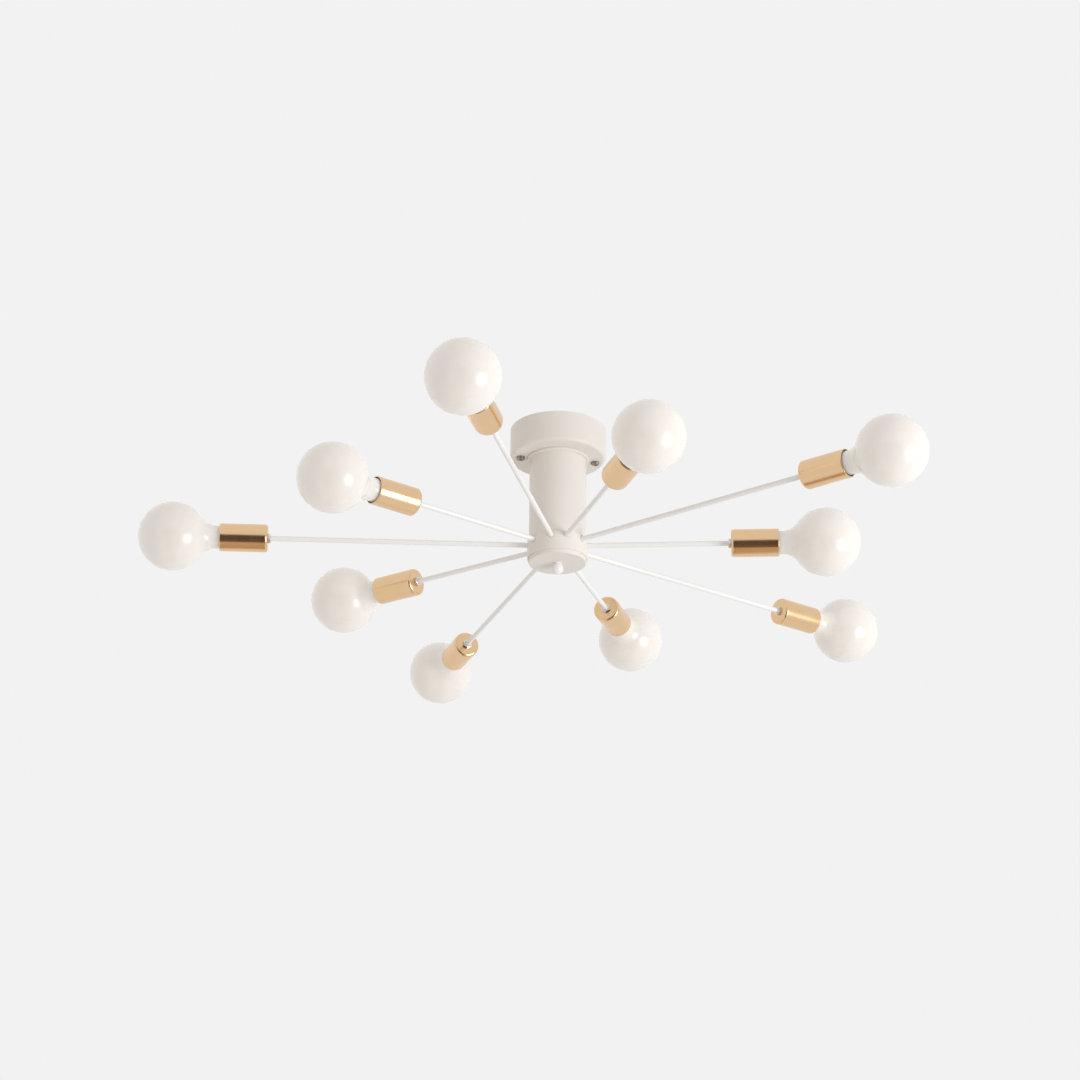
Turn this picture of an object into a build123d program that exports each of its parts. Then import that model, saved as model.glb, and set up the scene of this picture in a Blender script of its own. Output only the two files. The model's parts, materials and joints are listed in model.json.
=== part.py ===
from build123d import *
import os
from math import atan2, cos, degrees, radians, sin, sqrt

# A semi-flush ceiling light: ten globe lamps on thin arms, long and short by turns, round a short wide stem.
# Millimetres. The origin lies on the ceiling, on the stem's axis. +Z is up, and +X runs along the bracket.

# Clearances
thread_clearance = 0.1  # screwed joints, all round
slip_clearance = 0.15  # pieces that slide together and then stay, all round
lamp_clearance = 0.3  # between a lamp and its holder, all round and endways

# Lamp: an opal globe on a 26 mm screw cap
globe_diameter = 80.0
globe_wall = 0.9
neck_fillet = 22.0  # the hollow curve from the neck out to the globe
neck_step = 0.4  # how far the neck stands outside the cap
neck_depth = 2.0  # how far the neck goes into the cup
cap_diameter = 26.2
cap_wall = 0.8
cap_length = 19.0
cap_cone_length = 4.0
contact_diameter = 9.6
contact_height = 2.5
contact_round = 1.2

# Lampholder, pushed into the cup
holder_lip = 1.2  # wall round the neck
holder_recess = 0.4  # how far its rim lies inside the cup's mouth
holder_floor = 4.0
holder_taper = 6.0
holder_boss_diameter = 16.0

# Socket cup
cup_length = 55.5
cup_wall = 1.1
cup_lip_round = 1.0
cup_edge_round = 3.0
cup_to_globe = 54.5  # from the cup's mouth to the globe's centre

# Arms: tubes threaded at both ends. The tie bolt has the same thread, so one nut fits all.
thread_diameter = 6.0
arm_wall = 0.9
long_reach = 447.0  # from the stem's axis to a globe's centre
short_reach = 312.0
arm_in_boss = 8.0
terminal_pocket = 3.0
nut_wall = 2.0
nut_height = 3.2
thread_end = 1.5  # thread that shows past a nut
first_bearing = -8.7
arm_turns = (-3.1, 0.0, 0.7, 1.9, 2.8, 3.0, 1.1, 5.4, 0.1, -0.4)  # degrees off an even spacing, as set by hand

# Stem and hub
stem_diameter = 67.0
stem_wall = 1.5
stem_length = 128.0
stem_flange_lip = 3.5
stem_flange_thickness = 3.2
stem_flange_round = 0.8
hub_wall = 1.75
hub_height = 22.0
hub_edge_round = 0.7
arms_above_hub_foot = 17.0
arm_spot_diameter = 9.6  # flat spot faced on the hub round each arm
arm_spot_depth = 0.3

# Bottom cap, finial and tie bolt
cap_plate_height = 5.2
cap_plate_floor = 2.0
cap_plate_round = 1.0
spigot_height = 4.0
spigot_wall = 2.0
finial_diameter = 14.0
finial_neck_diameter = 9.0
finial_neck_length = 1.0

# Canopy, its screws and the bracket
canopy_height = 37.0
canopy_wall = 1.2
canopy_edge_round = 4.0
canopy_screw_inset = 12.05  # from the canopy's side to a screw's axis
screw_diameter = 5.0
screw_head_diameter = 9.8
screw_head_height = 3.4
screw_head_round = 1.6
screw_head_gap = 2.55  # between the stem's flange and a screw head
bracket_width = 20.0
bracket_thickness = 2.0
bracket_end = 7.5  # past each screw hole
bracket_centre_hole = 10.5
slot_spacing = 65.0
slot_length = 11.0
slot_width = 4.8

# Wiring: a twin lead to each lamp
lead_clearance = 0.3
lead_circle_radius = 19.0  # where the leads rise inside the stem
lead_bend = 6.5
lead_tail = 12.0  # above the canopy's floor

# Lamp sizes that follow
globe_radius = globe_diameter / 2
cap_radius = cap_diameter / 2
neck_radius = cap_radius + neck_step
cap_rear = neck_depth + cap_length
cone_rear = cap_rear + cap_cone_length
contact_rear = cone_rear + contact_height
holder_bore_radius = cap_radius + lamp_clearance
holder_entry_radius = neck_radius + lamp_clearance
holder_entry_depth = neck_depth + lamp_clearance
holder_radius = holder_entry_radius + holder_lip
holder_depth = contact_rear + lamp_clearance
cup_bore_radius = holder_radius + slip_clearance
cup_radius = cup_bore_radius + cup_wall
cup_floor = cup_length - cup_wall

# Arm sizes that follow
thread_radius = thread_diameter / 2
thread_hole_radius = thread_radius + thread_clearance
arm_bore_radius = thread_radius - arm_wall
nut_flats = thread_diameter + 2 * nut_wall
nut_corner_radius = nut_flats / 2 / cos(radians(30))
lead_radius = arm_bore_radius - lead_clearance
even_spacing = 360 / len(arm_turns)

# Stem sizes and levels that follow
stem_radius = stem_diameter / 2
stem_bore_radius = stem_radius - stem_wall
stem_flange_radius = stem_radius + stem_flange_lip
hub_bore_radius = stem_radius + slip_clearance
hub_radius = hub_bore_radius + hub_wall
spigot_radius = stem_bore_radius - slip_clearance
canopy_foot = -canopy_height
canopy_floor = canopy_foot + canopy_wall
hub_foot = canopy_foot - stem_length
arm_level = hub_foot + arms_above_hub_foot
cap_plate_foot = hub_foot - cap_plate_height
hub_nut_seat = sqrt(stem_bore_radius**2 - nut_corner_radius**2) - slip_clearance
arm_inner_end = hub_nut_seat - nut_height - thread_end

# Canopy sizes that follow
screw_radius = screw_diameter / 2
screw_head_radius = screw_head_diameter / 2
screw_offset = stem_flange_radius + screw_head_gap + screw_head_radius
canopy_radius = screw_offset + canopy_screw_inset


def arm_direction(bearing):
    return Vector(cos(radians(bearing)), sin(radians(bearing)), 0)


def arm_side_plane(bearing, distance):
    """Upright plane through an arm's axis: its X runs out along the arm, from that distance, and its Y is up."""
    outward = arm_direction(bearing)
    start = outward * distance + Vector(0, 0, arm_level)
    return Plane(origin=start, x_dir=outward, z_dir=outward.cross(Vector(0, 0, 1)))


def arm_end_plane(bearing, distance):
    """Plane square to an arm, facing out, at that distance from the stem's axis."""
    outward = arm_direction(bearing)
    return Plane(origin=outward * distance + Vector(0, 0, arm_level), x_dir=(0, 0, 1), z_dir=outward)


def arm_axis(bearing):
    return Axis((0, 0, arm_level), arm_direction(bearing))


# Each arm's number, its bearing round the stem, and how far out its cup's mouth lies
arms = []
for index, turn in enumerate(arm_turns):
    reach = long_reach if index % 2 else short_reach
    arms.append((index + 1, first_bearing + index * even_spacing + turn, reach - cup_to_globe))


def globe_outline(inset):
    """From the neck's end to the globe's pole, that far inside the glass's outer face."""
    outer_radius = globe_radius - inset
    fillet_radius = neck_fillet + inset
    fillet_height = neck_radius + neck_fillet
    fillet_back = sqrt((globe_radius + neck_fillet) ** 2 - fillet_height**2)
    fillet_centre = (cup_to_globe - fillet_back, fillet_height)
    lean = degrees(atan2(fillet_height, fillet_back))
    Line((-neck_depth, neck_radius - inset), (fillet_centre[0], neck_radius - inset))
    CenterArc(fillet_centre, fillet_radius, -90, 90 - lean)
    CenterArc((cup_to_globe, 0), outer_radius, 180 - lean, lean - 180)


def make_globe(bearing, mouth):
    with BuildPart() as bulb_globe:
        with BuildSketch(arm_side_plane(bearing, mouth)):
            with BuildLine():
                globe_outline(0)
                globe_outline(globe_wall)
                Line((-neck_depth, neck_radius), (-neck_depth, neck_radius - globe_wall))
                pole = cup_to_globe + globe_radius
                Line((pole, 0), (pole - globe_wall, 0))
            make_face()
        revolve(axis=arm_axis(bearing))
    return bulb_globe.part


def make_bulb_cap(bearing, mouth):
    inner_radius = cap_radius - cap_wall
    contact_radius = contact_diameter / 2
    with BuildPart() as bulb_cap:
        with BuildSketch(arm_side_plane(bearing, mouth)):
            with BuildLine():
                Polyline(
                    (-neck_depth, inner_radius),
                    (-neck_depth, cap_radius),
                    (-cap_rear, cap_radius),
                    (-cone_rear, contact_radius),
                    (-cone_rear, 0),
                    (cap_wall - cone_rear, 0),
                    (cap_wall - cone_rear, contact_radius - cap_wall),
                    (cap_wall - cap_rear, inner_radius),
                    close=True,
                )
            make_face()
        revolve(axis=arm_axis(bearing))
    return bulb_cap.part


def make_bulb_contact(bearing, mouth):
    with BuildPart() as bulb_contact:
        with BuildSketch(arm_end_plane(bearing, mouth - contact_rear)):
            Circle(contact_diameter / 2)
        extrude(amount=contact_height)
        fillet(bulb_contact.edges().sort_by(arm_axis(bearing))[0], contact_round)
    return bulb_contact.part


def make_socket_cup(bearing, mouth):
    with BuildPart() as socket_cup:
        with BuildSketch(arm_side_plane(bearing, mouth)) as wall:
            with BuildLine():
                Polyline(
                    (-cup_length, thread_hole_radius),
                    (-cup_length, cup_radius),
                    (0, cup_radius),
                    (0, cup_bore_radius),
                    (-cup_floor, cup_bore_radius),
                    (-cup_floor, thread_hole_radius),
                    close=True,
                )
            make_face()
            fillet(wall.vertices().group_by(Axis.X)[-1].sort_by(Axis.Y)[-1], cup_lip_round)
            fillet(wall.vertices().group_by(Axis.X)[1].sort_by(Axis.Y)[-1], cup_edge_round - cup_wall)
            fillet(wall.vertices().group_by(Axis.X)[0].sort_by(Axis.Y)[-1], cup_edge_round)
        revolve(axis=arm_axis(bearing))
    return socket_cup.part


def make_arm_tube(bearing, mouth):
    outer_end = mouth - cup_floor + arm_in_boss
    with BuildPart() as arm_tube:
        with BuildSketch(arm_end_plane(bearing, arm_inner_end)):
            Circle(thread_radius)
            Circle(arm_bore_radius, mode=Mode.SUBTRACT)
        extrude(amount=outer_end - arm_inner_end)
    return arm_tube.part


def write_part(part, label):
    part.label = label
    export_step(part, f"parts/{label}.step")


os.makedirs("parts", exist_ok=True)

# Lamps, cups and arms
for number, bearing, mouth in arms:
    write_part(make_globe(bearing, mouth), f"bulb_globe_{number:02d}")
    write_part(make_bulb_cap(bearing, mouth), f"bulb_cap_{number:02d}")
    write_part(make_bulb_contact(bearing, mouth), f"bulb_contact_{number:02d}")
    write_part(make_socket_cup(bearing, mouth), f"socket_cup_{number:02d}")
    write_part(make_arm_tube(bearing, mouth), f"arm_tube_{number:02d}")

# Lampholders: a barrel round the lamp's cap, and a threaded boss behind it that takes the arm
with BuildPart() as lampholders:
    for number, bearing, mouth in arms:
        barrel_rear = holder_depth + holder_floor
        boss_radius = holder_boss_diameter / 2
        pocket_end = cup_floor - arm_in_boss - terminal_pocket
        with BuildSketch(arm_side_plane(bearing, mouth)):
            with BuildLine():
                Polyline(
                    (-holder_recess, holder_entry_radius),
                    (-holder_recess, holder_radius),
                    (-barrel_rear, holder_radius),
                    (-barrel_rear - holder_taper, boss_radius),
                    (-cup_floor, boss_radius),
                    (-cup_floor, thread_hole_radius),
                    (-pocket_end, thread_hole_radius),
                    (-pocket_end, 0),
                    (-holder_depth, 0),
                    (-holder_depth, holder_bore_radius),
                    (-holder_entry_depth, holder_bore_radius),
                    (-holder_entry_depth, holder_entry_radius),
                    close=True,
                )
            make_face()
        revolve(axis=arm_axis(bearing))
write_part(lampholders.part, "lampholders")

# Nuts: behind each cup, inside the hub on each arm, and on the tie bolt in the canopy
with BuildPart() as jam_nuts:
    nut_planes = [Plane.XY.offset(canopy_floor)]
    for number, bearing, mouth in arms:
        nut_planes.append(arm_end_plane(bearing, mouth - cup_length - nut_height))
        nut_planes.append(arm_end_plane(bearing, hub_nut_seat - nut_height))
    for nut_plane in nut_planes:
        with BuildSketch(nut_plane):
            RegularPolygon(nut_flats / 2, 6, major_radius=False)
            Circle(thread_hole_radius, mode=Mode.SUBTRACT)
        extrude(amount=nut_height)
write_part(jam_nuts.part, "jam_nuts")

# Wiring: in along the arm, round a bend and up the stem
with BuildPart() as wiring:
    for number, bearing, mouth in arms:
        lead_start = mouth - cup_floor + arm_in_boss + terminal_pocket
        rise = canopy_floor + lead_tail - arm_level
        with BuildLine(arm_side_plane(bearing, 0)):
            FilletPolyline(
                (lead_start, 0),
                (lead_circle_radius, 0),
                (lead_circle_radius, rise),
                radius=lead_bend,
            )
        with BuildSketch(arm_end_plane(bearing, lead_start)):
            Circle(lead_radius)
        sweep()
write_part(wiring.part, "wiring")

# Stem: a tube with a flange under the canopy, drilled for the arms at its foot
with BuildPart() as stem_tube:
    with BuildSketch(Plane.XZ) as wall:
        with BuildLine():
            Polyline(
                (stem_bore_radius, canopy_foot),
                (stem_flange_radius, canopy_foot),
                (stem_flange_radius, canopy_foot - stem_flange_thickness),
                (stem_radius, canopy_foot - stem_flange_thickness),
                (stem_radius, hub_foot),
                (stem_bore_radius, hub_foot),
                close=True,
            )
        make_face()
        fillet(wall.vertices().group_by(Axis.X)[-1], stem_flange_round)
    revolve(axis=Axis.Z)
    with Locations(*[arm_end_plane(bearing, stem_radius) for number, bearing, mouth in arms]):
        Hole(thread_hole_radius, 2 * stem_wall)
write_part(stem_tube.part, "stem_tube")

# Hub ring: a sleeve on the stem's foot, spot faced and drilled for each arm
with BuildPart() as hub_ring:
    with BuildSketch(Plane.XY.offset(hub_foot)):
        Circle(hub_radius)
        Circle(hub_bore_radius, mode=Mode.SUBTRACT)
    extrude(amount=hub_height)
    upper_rim = hub_ring.edges().group_by(Axis.Z)[-1].sort_by(SortBy.RADIUS)[-1]
    lower_rim = hub_ring.edges().group_by(Axis.Z)[0].sort_by(SortBy.RADIUS)[-1]
    fillet([upper_rim, lower_rim], hub_edge_round)
    spot_floor = sqrt(hub_radius**2 - (arm_spot_diameter / 2) ** 2) - arm_spot_depth
    with Locations(*[arm_end_plane(bearing, hub_radius) for number, bearing, mouth in arms]):
        CounterBoreHole(thread_hole_radius, arm_spot_diameter / 2, hub_radius - spot_floor, 2 * hub_wall)
write_part(hub_ring.part, "hub_ring")

# Bottom cap: closes the stem's foot, flush with the stem, with a spigot up inside it
with BuildPart() as bottom_cap:
    with BuildSketch(Plane.XZ) as wall:
        with BuildLine():
            Polyline(
                (thread_hole_radius, cap_plate_foot),
                (stem_radius, cap_plate_foot),
                (stem_radius, hub_foot),
                (spigot_radius, hub_foot),
                (spigot_radius, hub_foot + spigot_height),
                (spigot_radius - spigot_wall, hub_foot + spigot_height),
                (spigot_radius - spigot_wall, cap_plate_foot + cap_plate_floor),
                (thread_hole_radius, cap_plate_foot + cap_plate_floor),
                close=True,
            )
        make_face()
        fillet(wall.vertices().group_by(Axis.Y)[0].sort_by(Axis.X)[-1], cap_plate_round)
    revolve(axis=Axis.Z)
write_part(bottom_cap.part, "bottom_cap")

# Finial: a ball whose long bolt clamps cap, stem and canopy together
with BuildPart() as finial_bolt:
    ball_radius = finial_diameter / 2
    finial_neck_radius = finial_neck_diameter / 2
    ball_shoulder = cap_plate_foot - finial_neck_length
    ball_centre = ball_shoulder - sqrt(ball_radius**2 - finial_neck_radius**2)
    bolt_top = canopy_floor + nut_height + thread_end
    with BuildSketch(Plane.XZ):
        with BuildLine():
            ThreePointArc(
                (0, ball_centre - ball_radius),
                (ball_radius, ball_centre),
                (finial_neck_radius, ball_shoulder),
            )
            Polyline(
                (finial_neck_radius, ball_shoulder),
                (finial_neck_radius, cap_plate_foot),
                (thread_radius, cap_plate_foot),
                (thread_radius, bolt_top),
                (0, bolt_top),
                (0, ball_centre - ball_radius),
            )
        make_face()
    revolve(axis=Axis.Z)
write_part(finial_bolt.part, "finial_bolt")

# Canopy: a cup drilled for the bolt, both screws and every lead
with BuildPart() as canopy:
    with BuildSketch(Plane.XZ) as wall:
        with BuildLine():
            Polyline(
                (thread_hole_radius, canopy_foot),
                (canopy_radius, canopy_foot),
                (canopy_radius, 0),
                (canopy_radius - canopy_wall, 0),
                (canopy_radius - canopy_wall, canopy_floor),
                (thread_hole_radius, canopy_floor),
                close=True,
            )
        make_face()
        fillet(wall.vertices().group_by(Axis.Y)[1].sort_by(Axis.X)[-1], canopy_edge_round - canopy_wall)
        fillet(wall.vertices().group_by(Axis.Y)[0].sort_by(Axis.X)[-1], canopy_edge_round)
    revolve(axis=Axis.Z)
    with Locations((screw_offset, 0, canopy_floor), (-screw_offset, 0, canopy_floor)):
        Hole(screw_radius + slip_clearance, 2 * canopy_wall)
    lead_places = [arm_direction(bearing) * lead_circle_radius for number, bearing, mouth in arms]
    with Locations(*[place + Vector(0, 0, canopy_floor) for place in lead_places]):
        Hole(lead_radius + lead_clearance, 2 * canopy_wall)
write_part(canopy.part, "canopy")

# Canopy screws: from under the canopy up into the bracket
with BuildPart() as canopy_screws:
    with Locations((screw_offset, 0, canopy_foot), (-screw_offset, 0, canopy_foot)):
        Cylinder(screw_radius, canopy_height, align=(Align.CENTER, Align.CENTER, Align.MIN))
        Cylinder(screw_head_radius, screw_head_height, align=(Align.CENTER, Align.CENTER, Align.MAX))
    fillet(canopy_screws.edges().group_by(Axis.Z)[0], screw_head_round)
write_part(canopy_screws.part, "canopy_screws")

# Bracket: a strip under the ceiling, slotted for the box and tapped for the canopy screws
with BuildPart() as mounting_bracket:
    with BuildSketch(Plane.XY.offset(-bracket_thickness)):
        SlotOverall(2 * (screw_offset + bracket_end), bracket_width)
        Circle(bracket_centre_hole / 2, mode=Mode.SUBTRACT)
        with Locations((slot_spacing / 2, 0), (-slot_spacing / 2, 0)):
            SlotOverall(slot_length, slot_width, mode=Mode.SUBTRACT)
        with Locations((screw_offset, 0), (-screw_offset, 0)):
            Circle(screw_radius + thread_clearance, mode=Mode.SUBTRACT)
    extrude(amount=bracket_thickness)
write_part(mounting_bracket.part, "mounting_bracket")
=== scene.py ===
# %% [markdown]
# A ceiling light with ten lamps on thin white arms.
# The metal and glass parts were drawn as solids in another program and arrive here already in place.
# This lesson gives them their finishes, models again the globes and the small threaded parts that the
# solids leave plain, and sets up the studio that the light is seen in. Lengths are in metres, the
# ceiling is at height zero, and the stem hangs down the vertical axis.

# %% Load the parts
import json
from math import atan2, cos, pi, radians, sin

import bpy
from mathutils import Matrix, Vector


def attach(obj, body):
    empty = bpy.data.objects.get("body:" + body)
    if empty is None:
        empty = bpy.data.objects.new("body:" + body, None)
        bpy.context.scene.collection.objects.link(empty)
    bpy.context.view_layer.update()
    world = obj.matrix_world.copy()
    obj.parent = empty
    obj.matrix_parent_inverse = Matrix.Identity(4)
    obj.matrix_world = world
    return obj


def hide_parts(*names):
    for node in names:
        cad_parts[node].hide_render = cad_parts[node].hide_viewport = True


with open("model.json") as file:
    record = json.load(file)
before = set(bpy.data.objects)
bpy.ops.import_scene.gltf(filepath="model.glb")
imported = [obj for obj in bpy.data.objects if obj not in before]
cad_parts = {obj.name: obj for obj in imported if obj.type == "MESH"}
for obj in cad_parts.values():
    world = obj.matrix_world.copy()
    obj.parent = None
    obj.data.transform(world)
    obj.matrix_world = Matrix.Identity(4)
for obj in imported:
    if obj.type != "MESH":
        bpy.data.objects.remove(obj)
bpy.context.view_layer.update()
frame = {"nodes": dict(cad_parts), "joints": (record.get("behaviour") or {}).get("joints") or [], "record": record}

nodes = frame["nodes"]
mm = 0.001

# %% [markdown]
# Where the arms are.
# On the real light each lamp unscrews about its own arm. The ten directions could be typed in again as
# angles, but the hinge of each lamp already says where its arm points. Reading it from there keeps
# every new piece in line with the solids, even if an arm is moved.

# %% Read the arms
lamps = [name[-2:] for name in sorted(nodes) if name.startswith("bulb_globe_")]
joints = {joint["name"]: joint for joint in frame["joints"]}
globe_centre = {lamp: Vector(joints[f"bulb_{lamp}_turn"]["pos_m"]) for lamp in lamps}
outward = {lamp: Vector(joints[f"bulb_{lamp}_turn"]["axis"]).normalized() for lamp in lamps}
arm_level = globe_centre[lamps[0]].z
print("arms:", len(lamps), "at height", arm_level)

# %% [markdown]
# The direction of the view.
# The picture was taken from below and a little to one side. The camera could be set by eye, but two
# angles give directions that the lamps and cards can use too: sight runs from the camera to the hub,
# away is the sight laid flat, and right and picture_up span the picture.

# %% View directions
up = Vector((0, 0, 1))
view_turn = radians(8.7)
view_rise = radians(23.336)
right = Vector((cos(view_turn), -sin(view_turn), 0))
away = Vector((sin(view_turn), cos(view_turn), 0))
sight = away * cos(view_rise) + up * sin(view_rise)
picture_up = up * cos(view_rise) - away * sin(view_rise)
print("sight", [round(part, 3) for part in sight])

# %% [markdown]
# The camera.
# It stands about three metres from the hub with a long lens, so near and far globes differ little in
# size. A Track To constraint could aim it. A track quaternion does the same in one line: -Z looks along
# the view and Y stays up. The aim lies a little beside the hub, and the last small roll is the tilt of
# the picture itself.

# %% Camera
view_distance = 3.202555
aim_aside = -0.02052
aim_above = 0.00698
camera_roll = radians(0.468)
lens_length = 91.49
hub_middle = up * arm_level
eye = hub_middle - sight * view_distance
aim = hub_middle + right * aim_aside + picture_up * aim_above
roll = Matrix.Rotation(camera_roll, 4, "Z").to_quaternion()
bpy.ops.object.select_all(action="DESELECT")
bpy.ops.object.camera_add(location=eye)
camera = bpy.context.object
camera.name = "photo_camera"
camera.data.lens = lens_length
camera.rotation_mode = "QUATERNION"
camera.rotation_quaternion = (aim - eye).to_track_quat("-Z", "Y") @ roll
bpy.context.scene.camera = camera
bpy.context.scene.view_settings.view_transform = "Standard"
print("camera at", [round(part, 3) for part in eye], "lens", lens_length)

# %% [markdown]
# Shader sums written as Python.
# A finish is a small program of nodes. By hand, each node is added and wired in the node editor, which
# takes many lines in a script. This class holds an output socket and lets a plain sum on it add the
# Math node, so that a roughness can be written as 0.36 + 0.10 * cloud. Its node method adds every other
# kind of node.


# %% Socket class
class Socket:
    def __init__(self, tree, output=None):
        self.tree = tree
        self.output = output

    def node(self, kind, settings=None, sockets=None, output=0):
        made = self.tree.nodes.new(kind)
        for name, value in (settings or {}).items():
            setattr(made, name, value)
        for name, value in (sockets or {}).items():
            if isinstance(value, Socket):
                self.tree.links.new(value.output, made.inputs[name])
            else:
                made.inputs[name].default_value = value
        return Socket(self.tree, made.outputs[output] if made.outputs else None)

    def maths(self, operation, first, second):
        return self.node("ShaderNodeMath", {"operation": operation}, {0: first, 1: second})

    def __add__(self, other):
        return self.maths("ADD", self, other)

    def __radd__(self, other):
        return self.maths("ADD", other, self)

    def __sub__(self, other):
        return self.maths("SUBTRACT", self, other)

    def __rsub__(self, other):
        return self.maths("SUBTRACT", other, self)

    def __mul__(self, other):
        return self.maths("MULTIPLY", self, other)

    def __rmul__(self, other):
        return self.maths("MULTIPLY", other, self)


print("reflected sums:", [name for name in vars(Socket) if name.startswith("__r")])

# %% [markdown]
# The studio air.
# White and glossy things are photographed in soft light from all round, before a plain pale background.
# One world colour could do both jobs, but the light that falls on the paint has to be dimmer than the
# background looks. Light Path tells the rays apart: the camera, and what metal and glass show, see the
# pale colour, and everything else is lit by a dimmer and slightly warm fill.


# %% World
def seen_rays(start):
    kinds = ("Is Camera Ray", "Is Glossy Ray", "Is Transmission Ray")
    camera_ray, glossy_ray, clear_ray = (start.node("ShaderNodeLightPath", output=kind) for kind in kinds)
    return start.maths("MINIMUM", camera_ray + glossy_ray + clear_ray, 1.0)


background_grey = 0.888
fill_colour = (1.0, 0.957, 0.912, 1.0)
fill_strength = 0.66
world = bpy.data.worlds.new("studio_air")
world.use_nodes = True
world.node_tree.nodes.clear()
bpy.context.scene.world = world
air = Socket(world.node_tree)
pale = air.node("ShaderNodeBackground", None, {"Color": (background_grey,) * 3 + (1.0,)})
fill = air.node("ShaderNodeBackground", None, {"Color": fill_colour, "Strength": fill_strength})
surface = air.node("ShaderNodeMixShader", None, {0: seen_rays(air), 1: fill, 2: pale})
air.node("ShaderNodeOutputWorld", None, {"Surface": surface})
print("background", background_grey, "fill", fill_strength)

# %% [markdown]
# Lamps.
# Every globe has one soft bright patch, to the right of its middle and almost level with it. A mirror
# ball shows a lamp at half its angle, so the large soft key lamp stands 58 degrees round to the right
# of the camera, below the level of the arms as the camera is. A weak warm lamp from the left keeps the
# shaded sides from going grey. It is kept out of reflections, where it would draw a second patch.


# %% Soft lamps
lamp_distance = 3.4


def soft_lamp(name, bearing, rise, size, power, colour):
    aside = right * sin(radians(bearing)) - away * cos(radians(bearing))
    towards = aside * cos(radians(rise)) + up * sin(radians(rise))
    bpy.ops.object.select_all(action="DESELECT")
    bpy.ops.object.light_add(type="AREA", location=hub_middle + towards * lamp_distance)
    lamp = bpy.context.object
    lamp.name = name
    lamp.rotation_mode = "QUATERNION"
    lamp.rotation_quaternion = towards.to_track_quat("Z", "Y")
    lamp.data.shape = "DISK"
    lamp.data.size = size
    lamp.data.energy = power
    lamp.data.color = colour
    return lamp


key_lamp = soft_lamp("key_lamp", bearing=58, rise=-20, size=2.0, power=60.0, colour=(0.955, 0.977, 1.0))
side_lamp = soft_lamp("side_lamp", bearing=-70, rise=-30, size=2.6, power=4.0, colour=(1.0, 0.70, 0.42))
side_lamp.visible_glossy = False
print("lamps:", [(lamp.name, lamp.data.energy) for lamp in (key_lamp, side_lamp)])

# %% [markdown]
# A plain surface.
# The floor is the first thing that needs a material. Three helpers start one, blend two colours in it
# and feed the sockets of its shader: a number or colour is set on the socket, and a Socket is linked to
# it. A Mix node carries sockets for every kind of data, and those of its two colours and their blend
# are found by number.


# %% Surface helpers
def start_surface(name):
    material = bpy.data.materials.new(name)
    material.use_nodes = True
    return material, material.node_tree.nodes["Principled BSDF"], Socket(material.node_tree)


first_colour, second_colour, blended_colour = 6, 7, 2


def blend(start, factor, first, second):
    sockets = {"Factor": factor, first_colour: (*first, 1.0), second_colour: (*second, 1.0)}
    return start.node("ShaderNodeMix", {"data_type": "RGBA"}, sockets, blended_colour)


def feed(shader, **inputs):
    for name, value in inputs.items():
        socket = shader.inputs[name.replace("_", " ").title().replace("Ior", "IOR")]
        if isinstance(value, Socket):
            value.tree.links.new(value.output, socket)
        else:
            socket.default_value = value


pale_floor, shader, start = start_surface("pale_floor")
print("started:", pale_floor.name)

# %% [markdown]
# The floor.
# The light hangs from a ceiling, so the floor lies four metres below it, a plain plane so wide that its
# edge never shows. It could have one colour, but it does two jobs. Its bounce lights the undersides of
# the canopy and hub, and the camera and the polished metal should see it as pale as the background. A
# faint glow for those rays alone lifts it to that level. No more light falls on the object, and the
# floor still takes its shadow.


# %% Floor
def stage_card(name, middle, facing, width, height, material):
    bpy.ops.object.select_all(action="DESELECT")
    bpy.ops.mesh.primitive_plane_add(size=1.0, location=middle)
    card = bpy.context.object
    card.name = name
    card.rotation_mode = "QUATERNION"
    card.rotation_quaternion = Vector(facing).to_track_quat("Z", "Y")
    card.scale = (width, height, 1.0)
    card.data.materials.append(material)
    return card


floor_level = -4.2
floor_width = 600.0
bounce_colour = (0.87, 0.87, 0.88)
seen_colour = (0.90, 0.95, 0.99)
no_glow = (0.0, 0.0, 0.0)
faint_glow = (0.24, 0.24, 0.24)
shown = seen_rays(start)
feed(
    shader,
    base_color=blend(start, shown, bounce_colour, seen_colour),
    roughness=0.6,
    emission_color=blend(start, shown, no_glow, faint_glow),
    emission_strength=1.0,
)
stage_card("studio_floor", up * floor_level, up, floor_width, floor_width, pale_floor)
print("floor at", floor_level, "width", floor_width)

# %% [markdown]
# Two cards for the metal to mirror.
# Polished metal only looks like metal when it has something darker to mirror. A real studio has an
# unlit side behind the camera and a wooden floor. Here a dark brown card, darker towards its top,
# stands behind the camera, and a narrow tan card lies below the hub, where the undersides of the level
# cups find it. Painting the darkness on the cups would be simpler, but it would stay put in other
# views. Only reflections see the cards, so they take no light from the paint.

# %% Cards
dark_foot = (0.17, 0.10, 0.062)
dark_top = (0.05, 0.04, 0.03)
tan_wood = (0.70, 0.50, 0.32, 1.0)
card_roughness = 0.9
half_card = 0.5
dark_cloth, shader, start = start_surface("dark_cloth")
place = start.node("ShaderNodeTexCoord", output="Object")
card_height = place.node("ShaderNodeSeparateXYZ", None, {0: place}, "Y")
darkness = blend(start, half_card - card_height, dark_top, dark_foot)
feed(shader, base_color=darkness, roughness=card_roughness)
tan_board, shader, start = start_surface("tan_board")
feed(shader, base_color=tan_wood, roughness=card_roughness)
dark_distance, dark_drop = 3.6, 0.55
tan_drop, tan_away, tan_left = 3.2, 0.175, 0.15
behind_camera = hub_middle - sight * dark_distance - picture_up * dark_drop
below_hub = hub_middle - up * tan_drop + away * tan_away - right * tan_left
dark_card = stage_card("dark_card", behind_camera, sight, width=3.4, height=4.5, material=dark_cloth)
tan_card = stage_card("tan_card", below_hub, up, width=1.6, height=4.05, material=tan_board)
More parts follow.
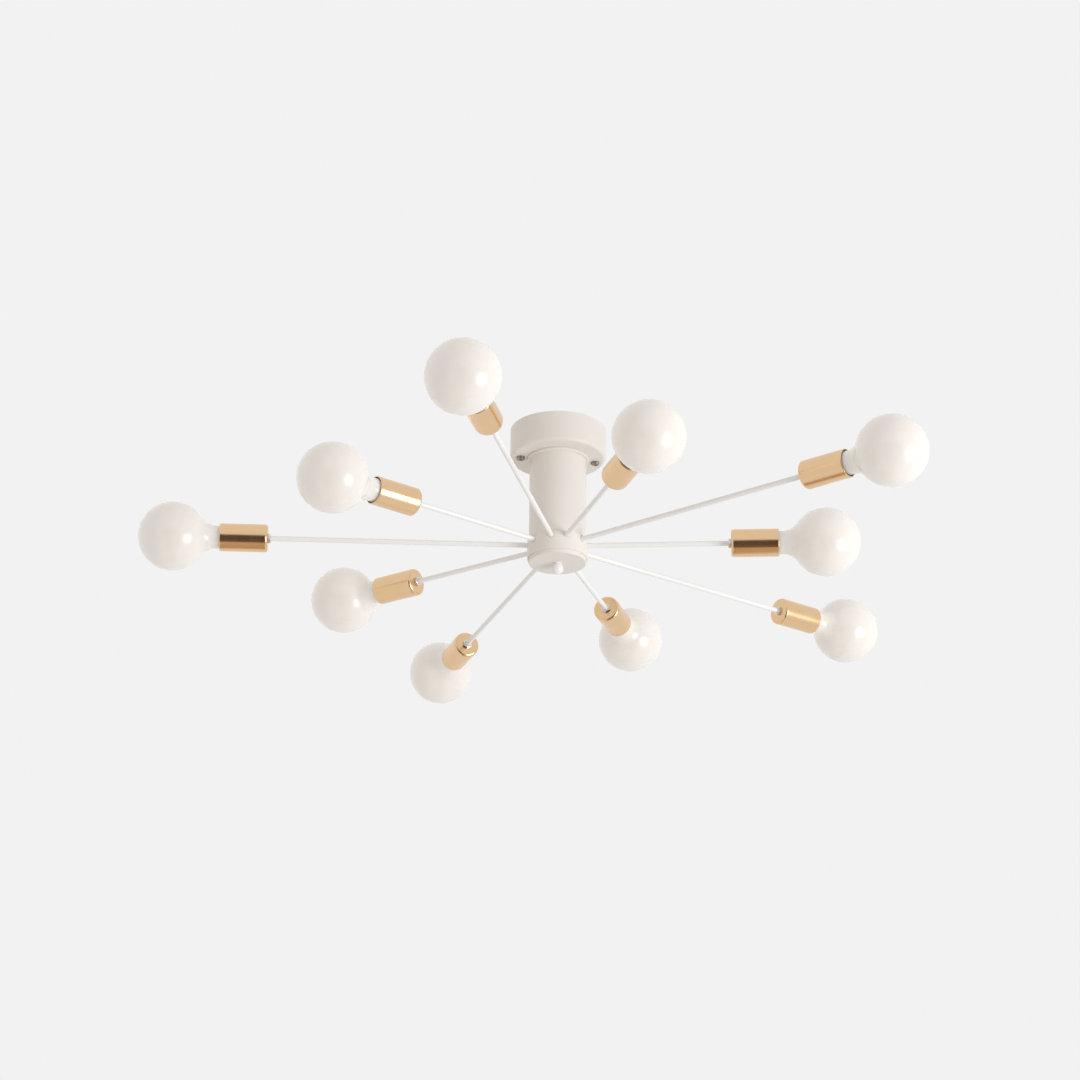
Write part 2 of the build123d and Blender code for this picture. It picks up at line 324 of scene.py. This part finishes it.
for card in (dark_card, tan_card):
    card.visible_camera = False
    card.visible_diffuse = False
    card.visible_shadow = False
print("cards:", [(card.name, [round(side, 2) for side in card.scale]) for card in (dark_card, tan_card)])

# %% [markdown]
# White paint.
# The stem, canopy and hub are powder coated: baked plastic dust that flows into a satin skin with a
# faint orange-peel ripple a millimetre or two across. An image of paint would need its edges matched on
# every part. Noise on Object coordinates has none: all parts sit at the origin with their place in
# their mesh, so a pattern given in millimetres keeps its size on them all. A fine noise gives the
# ripple, and a wide one the uneven gloss.


# %% White paint
def start_finish(name):
    material, shader, start = start_surface(name)
    return material, shader, start.node("ShaderNodeTexCoord", output="Object")


def speckle(place, size, detail=2.0):
    return place.node("ShaderNodeTexNoise", None, {"Vector": place, "Scale": 1.0 / size, "Detail": detail})


def bumped(place, height, depth):
    return place.node("ShaderNodeBump", None, {"Height": height, "Distance": depth, "Strength": 1.0})


shaded_ivory, light_ivory = (0.855, 0.815, 0.765), (0.88, 0.842, 0.795)
white_paint, shader, place = start_finish("white_powder_coat")
peel = speckle(place, 1.6 * mm, detail=1.0)
cloud = speckle(place, 35 * mm)
feed(
    shader,
    base_color=blend(place, cloud, shaded_ivory, light_ivory),
    roughness=0.36 + 0.10 * cloud,
    normal=bumped(place, peel, depth=0.02 * mm),
    specular_ior_level=0.45,
)
print("finish:", white_paint.name)

# %% [markdown]
# Rod lacquer.
# The thin arms are sprayed rather than powder coated: a cleaner, glossier white than the stem's. It is
# made the same way as the paint. Its ripple is wider and far shallower, because on a thin rod a deep
# one would look like dents.

# %% Rod lacquer
shaded_white, clean_white = (0.935, 0.93, 0.92), (0.955, 0.952, 0.945)
rod_lacquer, shader, place = start_finish("white_rod_lacquer")
drift = speckle(place, 20 * mm)
ripple = speckle(place, 4 * mm, detail=1.0)
feed(
    shader,
    base_color=blend(place, drift, shaded_white, clean_white),
    roughness=0.22 + 0.08 * drift,
    normal=bumped(place, ripple, depth=0.004 * mm),
)
print("finish:", rod_lacquer.name)

# %% [markdown]
# Polished gold.
# The cups are turned from tube, polished and plated a pale champagne gold. Turning leaves hair lines
# round each cup. They could be drawn with a wave for every cup, but all cups point away from the stem,
# so the distance from the stem's axis draws the lines on all ten at once. Handling leaves soft patches
# of lower gloss.

# %% Polished gold
deep_gold, pale_gold = (0.80, 0.545, 0.315), (0.84, 0.585, 0.35)
level_only = (1.0, 1.0, 0.0)
polished_gold, shader, place = start_finish("champagne_gold")
flat_place = place.node("ShaderNodeVectorMath", {"operation": "MULTIPLY"}, {0: place, 1: level_only})
reach = flat_place.node("ShaderNodeVectorMath", {"operation": "LENGTH"}, {0: flat_place}, "Value")
turning = speckle(reach.node("ShaderNodeCombineXYZ", None, {"X": reach}), 0.45 * mm)
smudge = speckle(place, 14 * mm, detail=3.0)
feed(
    shader,
    base_color=blend(place, smudge, deep_gold, pale_gold),
    metallic=1.0,
    roughness=0.19 + 0.07 * smudge,
    normal=bumped(place, turning, depth=0.0012 * mm),
)
print("finish:", polished_gold.name)

# %% [markdown]
# Opal glass.
# The globes are milky all through under a smooth skin. White paint would look hard, so light is let in:
# subsurface scattering softens the shade from side to side. The gloss is a clear coat of its own over
# the milk. A hollow globe also passes light round inside itself. Here a faint painted glow under the coat
# stands in for that light and lifts the shaded side. No lamp is lit.

# %% Opal glass
thin_milk, full_milk = (0.72, 0.69, 0.65), (0.74, 0.71, 0.672)
painted_glow = (1.0, 0.965, 0.925, 1.0)
opal_glass, shader, place = start_finish("opal_white_glass")
milk = speckle(place, 25 * mm)
swell = speckle(place, 9 * mm, detail=1.0)
feed(
    shader,
    base_color=blend(place, milk, thin_milk, full_milk),
    roughness=0.17 + 0.05 * milk,
    normal=bumped(place, swell, depth=0.03 * mm),
    specular_ior_level=0.0,
    coat_weight=1.0,
    coat_roughness=0.19,
    coat_ior=1.5,
    subsurface_weight=1.0,
    subsurface_radius=(1.0, 0.92, 0.85),
    subsurface_scale=16 * mm,
    # Painted light: a faint even glow on the unlit globe lifts its shaded side.
    emission_color=painted_glow,
    emission_strength=0.18,
)
print("finish:", opal_glass.name)

# %% [markdown]
# The small metals.
# Nuts, lamp caps, screws, the bracket and the bare wire are plated or plain metals. Each could have
# nodes of its own, but they differ only in colour, gloss and the size of the clouds in the plating, so
# one function makes them all.


# %% Small metals
fine_share = 1 / 6


def plated(name, dull, bright, roughness, grain):
    material, shader, place = start_finish(name)
    cloud = speckle(place, grain, detail=3.0)
    fine_grain = speckle(place, grain * fine_share)
    feed(
        shader,
        base_color=blend(place, cloud, dull, bright),
        metallic=1.0,
        roughness=roughness + 0.12 * cloud,
        normal=bumped(place, fine_grain, depth=0.004 * mm),
    )
    return material


nickel = plated("bright_nickel", (0.66, 0.64, 0.61), (0.74, 0.72, 0.69), roughness=0.14, grain=5 * mm)
satin_nickel = plated("satin_nickel", (0.72, 0.70, 0.68), (0.80, 0.78, 0.76), roughness=0.30, grain=4 * mm)
zinc = plated("zinc_plate", (0.50, 0.52, 0.55), (0.64, 0.65, 0.66), roughness=0.32, grain=3 * mm)
dark_steel = plated("dark_screw_steel", (0.26, 0.245, 0.23), (0.40, 0.37, 0.34), roughness=0.28, grain=2 * mm)
solder = plated("contact_solder", (0.55, 0.55, 0.54), (0.68, 0.68, 0.67), roughness=0.35, grain=1.5 * mm)
copper = plated("bare_copper", (0.72, 0.36, 0.22), (0.82, 0.46, 0.30), roughness=0.25, grain=0.8 * mm)
print("metals:", [metal.name for metal in (nickel, satin_nickel, zinc, dark_steel, solder, copper)])

# %% [markdown]
# The plastics.
# The lamp holders are black phenolic, which is moulded with a fine even grain, and the leads have soft
# sleeves of black and white. A single colour would look like a drawing. One half-millimetre noise
# serves colour, gloss and bump.


# %% Plastics
def moulded(name, dull, bright, roughness):
    material, shader, place = start_finish(name)
    grain = speckle(place, 0.5 * mm)
    feed(
        shader,
        base_color=blend(place, grain, dull, bright),
        roughness=roughness + 0.15 * grain,
        normal=bumped(place, grain, depth=0.015 * mm),
    )
    return material


phenolic = moulded("holder_phenolic", (0.012, 0.010, 0.009), (0.026, 0.022, 0.019), roughness=0.42)
insulation = moulded("white_insulation", (0.68, 0.67, 0.64), (0.74, 0.73, 0.70), roughness=0.45)
black_sleeve = moulded("black_insulation", (0.016, 0.016, 0.017), (0.03, 0.03, 0.03), roughness=0.45)
print("plastics:", [plastic.name for plastic in (phenolic, insulation, black_sleeve)])

# %% [markdown]
# Dressing the solids.
# Stem, canopy, hub, arms, cups and holders already have the right shape, so they keep it and only
# change their material. The finish is looked up by the part's name without its number.

# %% Dress the solids
finish_of = {
    "arm_tube": rod_lacquer,
    "stem_tube": white_paint,
    "hub_ring": white_paint,
    "bottom_cap": white_paint,
    "finial_bolt": rod_lacquer,
    "canopy": white_paint,
    "socket_cup": polished_gold,
    "bulb_globe": opal_glass,
    "bulb_cap": nickel,
    "bulb_contact": solder,
    "lampholders": phenolic,
    "jam_nuts": nickel,
    "wiring": insulation,
    "canopy_screws": dark_steel,
    "mounting_bracket": zinc,
}
for name, node in nodes.items():
    kind = name[:-3] if name[-2:].isdigit() else name
    node.material_slots[0].material = finish_of[kind]
print("dressed:", len(nodes))

# %% [markdown]
# The globes.
# A globe is blown opal glass with a neck that sits in the metal cap. Opal glass scatters light inside
# itself, and a renderer can only show that in a body that is solid all through: a thin hollow shell
# lets the light leak away and turns grey. So each globe is modelled again with the same outside. Its
# sizes could be typed in, but they are read from the solid: how far each point lies along the lamp's
# axis, and how far from it.


# %% Measure the globe
def measured(node, lamp):
    centre, axis = globe_centre[lamp], outward[lamp]
    spots = []
    for vertex in nodes[node].data.vertices:
        along = (vertex.co - centre).dot(axis)
        spots.append((along, (vertex.co - centre - axis * along).length))
    return spots


first = lamps[0]
same_spot = 0.01 * mm
globe_spots = measured(f"bulb_globe_{first}", first)
globe_radius = max(along for along, across in globe_spots)
neck_end = min(along for along, across in globe_spots)
neck_radius = max(across for along, across in globe_spots if along < neck_end + same_spot)
print("globe", round(globe_radius / mm, 2), "neck", round(neck_radius / mm, 2), "to", round(neck_end / mm, 2))

# %% [markdown]
# The ball of the globe.
# A ball could be spun from an arc, but the sphere primitive already has its rings. It is cut off where
# the hollow curve of the neck touches it. The centre of that curve lies one curve radius outside the
# neck and one outside the ball, so a right triangle gives the angle of the cut. Operators act on
# everything selected, so each model begins with nothing selected, upright at the origin.


# %% Cut the ball
def begin(add, name, **settings):
    bpy.ops.object.select_all(action="DESELECT")
    add(**settings)
    piece = bpy.context.object
    piece.name = name
    piece.data.name = name
    bpy.ops.object.transform_apply(location=True, rotation=True, scale=True)
    bpy.ops.object.mode_set(mode="EDIT")
    bpy.ops.mesh.select_all(action="SELECT")
    return piece


neck_curve = 22 * mm
curve_out = neck_radius + neck_curve
curve_back = ((globe_radius + neck_curve) ** 2 - curve_out**2) ** 0.5
cut_lean = atan2(curve_out, curve_back)
cut_radius = globe_radius * sin(cut_lean)
cut_height = -globe_radius * cos(cut_lean)
globe_model = begin(
    bpy.ops.mesh.primitive_uv_sphere_add, "globe_model", segments=160, ring_count=96, radius=globe_radius
)
bpy.ops.mesh.bisect(plane_co=(0, 0, cut_height), plane_no=(0, 0, 1), clear_inner=True)
print("ball cut at", round(cut_height / mm, 2), "radius there", round(cut_radius / mm, 2))

# %% [markdown]
# The neck.
# Glass is drawn out while it is hot, and the mesh is drawn out in the same way: the open ring is
# extruded along the axis and resized, station after station along the hollow curve, down to the end
# that sits in the cap. A bridge between two rings would be quicker, but it would make a straight cone.


# %% Draw out the neck
def pull_ring(radius, height, stations):
    for next_radius, next_height in stations:
        bpy.ops.mesh.extrude_region_move(TRANSFORM_OT_translate={"value": (0, 0, next_height - height)})
        growth = next_radius / radius
        bpy.ops.transform.resize(value=(growth, growth, 1.0), center_override=(0, 0, next_height))
        radius, height = next_radius, next_height


curve_steps = 14
neck_stations = []
for step in range(1, curve_steps + 1):
    swing = cut_lean + (pi / 2 - cut_lean) * step / curve_steps
    neck_stations.append((curve_out - neck_curve * sin(swing), neck_curve * cos(swing) - curve_back))
neck_stations.append((neck_radius, neck_end))
pull_ring(cut_radius, cut_height, neck_stations)
bpy.ops.mesh.edge_face_add()
print("neck rings:", len(neck_stations))

# %% [markdown]
# Finishing a model.
# Every model ends alike: points that fell on each other are merged, the faces are turned outwards, and
# edges that bend less than a given angle are shaded smooth. Shading all of it smooth would blur the
# real edges.


# %% Finish the globe
merge_gap = 0.001 * mm


def dress(piece, finish, smooth_below):
    bpy.ops.object.shade_smooth_by_angle(angle=radians(smooth_below))
    piece.data.materials.clear()
    piece.data.materials.append(finish)
    return piece


def end_modelling(piece, finish, smooth_below=35):
    bpy.ops.mesh.select_all(action="SELECT")
    bpy.ops.mesh.remove_doubles(threshold=merge_gap)
    bpy.ops.mesh.normals_make_consistent(inside=False)
    bpy.ops.object.mode_set(mode="OBJECT")
    return dress(piece, finish, smooth_below)


end_modelling(globe_model, opal_glass)
print("globe faces:", len(globe_model.data.polygons))

# %% [markdown]
# Placing the globes.
# The ten globes are alike, so one model is copied to every arm. Linked copies could share a mesh, but
# each piece keeps its place in its own mesh and its object at the origin, so that patterns don't slide.
# The copy's Z axis turns along the arm and its X axis stays up. Each globe rides on its own lamp and
# stands for that lamp's solid globe.


# %% Place the globes
def facing_out(direction, origin):
    side = direction.cross(up)
    turn = Matrix((up, side, direction)).transposed()
    return Matrix.Translation(origin) @ turn.to_4x4()


def copy_to(model, name, matrix, body):
    piece = model.copy()
    piece.data = model.data.copy()
    piece.name = name
    piece.data.name = name
    bpy.context.scene.collection.objects.link(piece)
    piece.data.transform(matrix)
    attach(piece, body)
    return piece


lamp_place = {lamp: facing_out(outward[lamp], globe_centre[lamp]) for lamp in lamps}
for lamp in lamps:
    globe = copy_to(globe_model, f"opal_globe_{lamp}", lamp_place[lamp], f"bulb_{lamp}")
    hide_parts(f"bulb_globe_{lamp}")
bpy.data.objects.remove(globe_model)
print("globes placed:", len(lamps))

# %% [markdown]
# The lamp caps.
# A lamp screws in by its cap: thin brass, rolled into a soft thread and plated with nickel. The solid
# cap is a plain cylinder on a cone, and its sizes are read as the globe's were. The pitch of the thread
# is the distance that the lamp's own joint moves in one turn, so the thread stays in step with itself
# as the lamp is unscrewed.

# %% Measure the cap
coupling = frame["record"]["behaviour"]["couplings"][0]
pitch = coupling["ratio"] * 2 * pi
cap_spots = measured(f"bulb_cap_{first}", first)
cap_top = max(along for along, across in cap_spots)
cap_foot = min(along for along, across in cap_spots)
cap_radius = max(across for along, across in cap_spots)
cone_top = min(along for along, across in cap_spots if across > cap_radius - same_spot)
foot_radius = max(across for along, across in cap_spots if along < cap_foot + same_spot)
print("cap", round(cap_radius / mm, 2), "pitch", round(pitch / mm, 4))

# %% [markdown]
# Turning the cap.
# On a lathe a cutter follows a template. Here a filled circle grows in the same way, ring by ring, and
# a Screw modifier on a profile could do it too. Pulled rings keep every station's radius and height in
# plain sight. The straight part gets twelve rings in each turn of the thread, enough to carry its wave.
# The cone stops where the black insulator begins.


# %% Turn the cap
def turned(name, sides, stations, finish):
    (radius, height), *others = stations
    piece = begin(
        bpy.ops.mesh.primitive_circle_add, name,
        vertices=sides, radius=radius, fill_type="NGON", location=(0, 0, height),
    )
    pull_ring(radius, height, others)
    return end_modelling(piece, finish)


lip = 0.3 * mm
collar = 1.4 * mm
bead_in, bead_down = 0.6 * mm, 0.25 * mm
insulator_share = 0.55
seat_radius = cap_radius + (foot_radius - cap_radius) * (1 - insulator_share)
seat_height = cone_top + (cap_foot - cone_top) * (1 - insulator_share)
rings_per_turn = 12
ring_gap = pitch / rings_per_turn
ring_count = int((cap_top - collar - cone_top) / ring_gap)
thread_rings = [(cap_radius, cap_top - collar - ring_gap * ring) for ring in range(ring_count)]
mouth = [(cap_radius - lip, cap_top), (cap_radius, cap_top - lip)]
cone = [(cap_radius, cone_top), (cap_radius - bead_in, cone_top - bead_down), (seat_radius, seat_height)]
cap_model = turned("cap_model", sides=72, stations=[*mouth, *thread_rings, *cone], finish=nickel)
print("cap rings:", ring_count, "seat", round(seat_radius / mm, 2))

# %% [markdown]
# Rolling the thread.
# The thread is pressed into the thin brass by rollers, so it is a soft wave and not a sharp groove. A
# helix could be swept and cut out, but moving the cap's own points is cleaner: each is drawn in by a
# wave that climbs one pitch in a turn, and that fades out towards both ends.


# %% Roll the thread
def cut_thread(piece, low, high, depth, pitch, fade):
    for vertex in piece.data.vertices:
        x, y, z = vertex.co
        if low < z < high:
            reached = min(1.0, (z - low) / fade, (high - z) / fade)
            wave = 0.5 - 0.5 * cos(2 * pi * z / pitch - atan2(y, x))
            radius = (x * x + y * y) ** 0.5
            shrink = 1.0 - depth * wave * reached / radius
            vertex.co = (x * shrink, y * shrink, z)


cut_thread(cap_model, cone_top, cap_top - collar, depth=0.85 * mm, pitch=pitch, fade=1.6 * mm)
print("cap points:", len(cap_model.data.vertices))

# %% [markdown]
# The insulator.
# Between the cap and the contact at its end sits a ring of black glass or phenolic. It is a second
# turned piece, so that it can have its own finish with a clean edge, where two materials on one mesh
# would follow the faces.

# %% Place the caps
step_in, step_down = 0.25 * mm, 0.5 * mm
ring_profile = [
    (seat_radius, seat_height), (seat_radius - step_in, seat_height - step_down), (foot_radius, cap_foot)
]
insulator_model = turned("insulator_model", sides=48, stations=ring_profile, finish=phenolic)
for lamp in lamps:
    cap = copy_to(cap_model, f"lamp_cap_{lamp}", lamp_place[lamp], f"bulb_{lamp}")
    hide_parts(f"bulb_cap_{lamp}")
    copy_to(insulator_model, f"lamp_insulator_{lamp}", lamp_place[lamp], f"bulb_{lamp}")
bpy.data.objects.remove(cap_model)
bpy.data.objects.remove(insulator_model)
print("caps placed:", len(lamps))

# %% [markdown]
# The jam nuts.
# A thin hexagon nut is sawn from hexagon bar, and its corners are turned down to a cone of 30 degrees
# on both faces. A bevel on the prism would take the same off the flats as off the corners. So the prism
# is kept only where it meets a chamfered disc, and the curved chamfer lines come out as on the real
# nut. The cones of the disc run on past the faces of the nut, because a cutter that ends level with a
# face leaves slivers.


# %% Chamfer the nut
def carve(piece, cutter, operation):
    bpy.ops.object.select_all(action="DESELECT")
    bpy.context.view_layer.objects.active = piece
    piece.select_set(True)
    cut = piece.modifiers.new("cut", "BOOLEAN")
    cut.operation = operation
    cut.object = cutter
    cut.solver = "EXACT"
    bpy.ops.object.modifier_apply(modifier=cut.name)
    bpy.data.objects.remove(cutter)


nut_half = 1.6 * mm
across_flats = 10 * mm
nut_corner = across_flats / 2 / cos(pi / 6)
nut_model = begin(
    bpy.ops.mesh.primitive_cylinder_add, "nut_model",
    vertices=6, radius=nut_corner, depth=2 * nut_half, rotation=(0, 0, pi / 6),
)
bpy.ops.object.mode_set(mode="OBJECT")
face_radius, disc_radius = 4.75 * mm, 6.0 * mm
chamfer_slope = 0.577
proud = 0.2 * mm
rim_height = nut_half - (disc_radius - face_radius) * chamfer_slope
upper_half = [(disc_radius, rim_height), (face_radius - proud / chamfer_slope, nut_half + proud)]
lower_half = [(radius, -height) for radius, height in reversed(upper_half)]
chamfer_disc = turned("chamfer_disc", sides=60, stations=lower_half + upper_half, finish=satin_nickel)
carve(nut_model, chamfer_disc, "INTERSECT")
print("nut corner to corner", round(2 * nut_corner / mm, 2), "faces", len(nut_model.data.polygons))

# %% [markdown]
# The bore.
# The hole is drilled and then countersunk on both faces, so that the thread starts cleanly. Two cutters
# could do it, but one waisted bit, straight in the middle and flared at its ends, takes out both at
# once. It stands proud of the faces as the disc did.

# %% Bore the nut
bore_radius = 3.1 * mm
countersink = 0.45 * mm
upper_bit = [(bore_radius, nut_half - countersink), (bore_radius + countersink + proud, nut_half + proud)]
lower_bit = [(radius, -height) for radius, height in reversed(upper_bit)]
bore_bit = turned("bore_bit", sides=40, stations=lower_bit + upper_bit, finish=satin_nickel)
carve(nut_model, bore_bit, "DIFFERENCE")
bpy.ops.object.mode_set(mode="EDIT")
end_modelling(nut_model, satin_nickel, smooth_below=25)
print("nut faces:", len(nut_model.data.polygons))

# %% [markdown]
# Where the nuts go.
# One nut clamps every cup to its arm, one holds every arm inside the stem, and one closes the long bolt
# inside the canopy. The solids have plain nuts in those places, all in one mesh. A merged copy of it is
# split into its loose parts, as by hand, and the middle of each part's box is noted before the copy is
# thrown away.


# %% Find the nuts
def loose_middles(node):
    bpy.ops.object.select_all(action="DESELECT")
    pattern = node.copy()
    pattern.data = node.data.copy()
    bpy.context.scene.collection.objects.link(pattern)
    bpy.context.view_layer.objects.active = pattern
    pattern.select_set(True)
    bpy.ops.object.mode_set(mode="EDIT")
    bpy.ops.mesh.select_all(action="SELECT")
    bpy.ops.mesh.remove_doubles(threshold=merge_gap)
    bpy.ops.mesh.separate(type="LOOSE")
    bpy.ops.object.mode_set(mode="OBJECT")
    middles = []
    for part in bpy.context.selected_objects:
        sides = list(zip(*(vertex.co for vertex in part.data.vertices)))
        middles.append(Vector([(min(side) + max(side)) / 2 for side in sides]))
        bpy.data.objects.remove(part)
    return middles


nut_middles = loose_middles(nodes["jam_nuts"])
print("nuts found:", len(nut_middles))

# %% [markdown]
# Placing the nuts.
# A nut on an arm faces along that arm, which is the one whose direction its middle lies in. The nut on
# the bolt lies flat. The solids hold all nuts as one part, so the copies are joined into one piece,
# too.


# %% Place the nuts
def joined(pieces, name):
    bpy.ops.object.select_all(action="DESELECT")
    for piece in pieces:
        piece.select_set(True)
    bpy.context.view_layer.objects.active = pieces[0]
    bpy.ops.object.join()
    whole = bpy.context.object
    whole.name = name
    whole.data.name = name
    return whole


on_axis = 1 * mm
placed_nuts = []
for middle in nut_middles:
    flat_middle = Vector((middle.x, middle.y, 0))
    spot = Matrix.Translation(middle)
    if flat_middle.length > on_axis:
        lamp = max(lamps, key=lambda name: outward[name].dot(flat_middle))
        spot = facing_out(outward[lamp], middle)
    placed_nuts.append(copy_to(nut_model, f"jam_nut_{len(placed_nuts):02d}", spot, "fixture"))
hex_nuts = joined(placed_nuts, "hexagon_nuts")
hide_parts("jam_nuts")
bpy.data.objects.remove(nut_model)
print("nuts placed:", len(placed_nuts))

# %% [markdown]
# The canopy screws.
# Two dark pan-head screws hold the canopy up to the bracket. They could be placed from a drawing, but
# the plain solid screws are there already: their ends, their distance from the stem and the width of
# their heads are read from them.

# %% Measure the screws
screw_spots = [vertex.co for vertex in nodes["canopy_screws"].data.vertices]
screw_foot = min(spot.z for spot in screw_spots)
screw_top = max(spot.z for spot in screw_spots)
head_edge = max(spot.x for spot in screw_spots)
screw_out = (head_edge + min(spot.x for spot in screw_spots if spot.x > 0)) / 2
head_radius = head_edge - screw_out
print("screws at", round(screw_out / mm, 2), "head", round(head_radius / mm, 2))

# %% [markdown]
# Turning the screws.
# Head and shank are turned in one go from the lowest point up: the rounded face of the head, its rim
# against the canopy, the bare shank, the part that carries the thread, and a small point. The thread is
# rolled by the same wave as on the lamp caps. A groove cut by a helix would be sharper than a rolled
# thread is.

# %% Turn the screw
head_top = -37 * mm
head_round, round_steps = 1.6 * mm, 7
head_face = []
for step in range(round_steps + 1):
    swing = pi / 2 * step / round_steps
    face_height = screw_foot + head_round * (1 - cos(swing))
    head_face.append((head_radius - head_round * (1 - sin(swing)), face_height))
shank_radius = 2.5 * mm
point = 0.5 * mm
screw_pitch = 0.8 * mm
bare_shank = 14 * mm
thread_low, thread_high = head_top + bare_shank, screw_top - point
rings_per_turn = 8
ring_gap = screw_pitch / rings_per_turn
ring_count = int((thread_high - thread_low) / ring_gap)
thread_rings = [(shank_radius, thread_low + ring_gap * ring) for ring in range(ring_count)]
shoulder = [(head_radius, head_top), (shank_radius, head_top)]
tip = [(shank_radius, thread_high), (shank_radius - point, screw_top)]
profile = [*head_face, *shoulder, *thread_rings, *tip]
screw_model = turned("screw_model", sides=40, stations=profile, finish=dark_steel)
cut_thread(screw_model, thread_low, thread_high, depth=0.45 * mm, pitch=screw_pitch, fade=0.8 * mm)
print("screw rings:", ring_count, "points", len(screw_model.data.vertices))

# %% [markdown]
# The cross recess.
# A punch with four tapered wings sinks the cross into the cold head. Two tapered blocks across each
# other do the same: a rectangle just below the face, extruded up into the head and made smaller there.
# Straight slots would be quicker, but a cross recess always narrows, so that the driver centres itself.

# %% Sink the cross
wing_mouth = (5.0 * mm, 1.1 * mm)
wing_floor = (2.6 * mm, 0.7 * mm)
recess_depth = 2.0 * mm
mouth_level = screw_foot - proud
deep_level = screw_foot + recess_depth
for order in (1, -1):
    wide, deep = wing_mouth[::order], wing_floor[::order]
    wing = begin(bpy.ops.mesh.primitive_plane_add, "recess_wing", size=1.0, location=(0, 0, mouth_level))
    bpy.ops.transform.resize(value=(*wide, 1.0), center_override=(0, 0, mouth_level))
    rise = deep_level - mouth_level
    bpy.ops.mesh.extrude_region_move(TRANSFORM_OT_translate={"value": (0, 0, rise)})
    taper = (deep[0] / wide[0], deep[1] / wide[1], 1.0)
    bpy.ops.transform.resize(value=taper, center_override=(0, 0, deep_level))
    carve(screw_model, end_modelling(wing, dark_steel), "DIFFERENCE")
bpy.ops.object.mode_set(mode="EDIT")
end_modelling(screw_model, dark_steel, smooth_below=30)
print("screw faces:", len(screw_model.data.polygons))

# %% [markdown]
# Placing the screws.
# The two screws stand opposite each other, and each has come to rest at its own angle, as screws do.
# Equal angles would look printed.

# %% Place the screws
placed_screws = []
for side, rest_angle in ((1, 0.35), (-1, 1.1)):
    spot = Matrix.Translation((side * screw_out, 0, 0)) @ Matrix.Rotation(rest_angle, 4, "Z")
    name = f"cross_screw_{len(placed_screws)}"
    placed_screws.append(copy_to(screw_model, name, spot, "fixture"))
cross_screws = joined(placed_screws, "cross_head_screws")
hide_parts("canopy_screws")
bpy.data.objects.remove(screw_model)
print("screws placed:", len(placed_screws), "faces", len(cross_screws.data.polygons))

# %% [markdown]
# The lead ends.
# Above the canopy's floor each lamp's twin lead is stripped: its two cores fan apart, one black and one
# white, and show a few millimetres of bright copper, ready for the house wires. The solid leads end on
# a circle round the stem's axis, so its height and radius are read from them.

# %% Find the lead ends
lead_spots = [vertex.co for vertex in nodes["wiring"].data.vertices]
lead_top = max(spot.z for spot in lead_spots)
top_reach = [spot.to_2d().length for spot in lead_spots if spot.z > lead_top - same_spot]
lead_circle = (min(top_reach) + max(top_reach)) / 2
print("leads at", round(lead_circle / mm, 2), "top", round(lead_top / mm, 2))

# %% [markdown]
# Sweeping a core.
# A core is a round tube along a short soft bend. Rings could be pulled for it too, but they would have
# to be turned at every station. A curve with a round bevel keeps them square to the bend by itself, and
# is then made a mesh.


# %% Sweep a core
def swept(name, points, radius, finish, smooth_below=50):
    bpy.ops.object.select_all(action="DESELECT")
    bpy.ops.curve.primitive_bezier_curve_add()
    core = bpy.context.object
    core.name = name
    spline = core.data.splines[0]
    spline.bezier_points.add(len(points) - len(spline.bezier_points))
    for knot, spot in zip(spline.bezier_points, points):
        knot.co = spot
        knot.handle_left_type = "AUTO"
        knot.handle_right_type = "AUTO"
    core.data.bevel_depth = radius
    core.data.bevel_resolution = 4
    core.data.use_fill_caps = True
    bpy.ops.object.convert(target="MESH")
    core.data.name = name
    return dress(core, finish, smooth_below)


core_radius, core_length = 0.68 * mm, 8 * mm
strand_radius, strand_length = 0.42 * mm, 5 * mm
print("core", round(core_length / mm, 2), "long, bare strands", round(strand_length / mm, 2))

# %% [markdown]
# Fanning out the cores.
# The two cores of a lead start side by side, a little inside the sleeve, and lean apart as they rise.
# The bare strands start inside the end of their core and run straight on from it, as stripped wire
# does. Three points are enough for each: a curve with more would only show the hand that drew it.

# %% Lead ends
core_gap, core_spread, core_sunk = 0.72 * mm, 1.9 * mm, 1.5 * mm
bend_aside, bend_up = core_gap + core_spread * 0.4, core_length * 0.45
strand_sunk = 1 * mm
ends = {"black": [], "white": [], "copper": []}
for lamp in lamps:
    lead_end = outward[lamp] * lead_circle + up * lead_top
    for colour, sign, finish in (("black", 1, black_sleeve), ("white", -1, insulation)):
        side = outward[lamp].cross(up) * sign
        foot = lead_end + side * core_gap - up * core_sunk
        bend = lead_end + side * bend_aside + up * bend_up
        tip = lead_end + side * (core_gap + core_spread) + up * core_length
        ends[colour].append(swept(f"core_{colour}_{lamp}", [foot, bend, tip], core_radius, finish))
        lean = (tip - bend).normalized()
        strands = [tip + lean * along for along in (-strand_sunk, strand_length / 2, strand_length)]
        ends["copper"].append(swept(f"strands_{colour}_{lamp}", strands, strand_radius, copper))
print("lead ends:", {colour: len(cores) for colour, cores in ends.items()})

# %% [markdown]
# Joining the lead ends.
# All cores of one colour, and all copper tips, become one piece each. They never move apart, and three
# pieces are easier to repaint than forty.

# %% Join the lead ends
for colour, name, slot in (
    ("black", "lead_cores_black", "black_phenolic"),
    ("white", "lead_cores_white", "wire_insulation"),
    ("copper", "lead_tips_copper", "nickel"),
):
    whole = joined(ends[colour], name)
    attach(whole, "fixture")
    print(name, "faces", len(whole.data.polygons))

# %% [markdown]
# The box of the solids.
# The dressed light has to stay within the box of the solids.
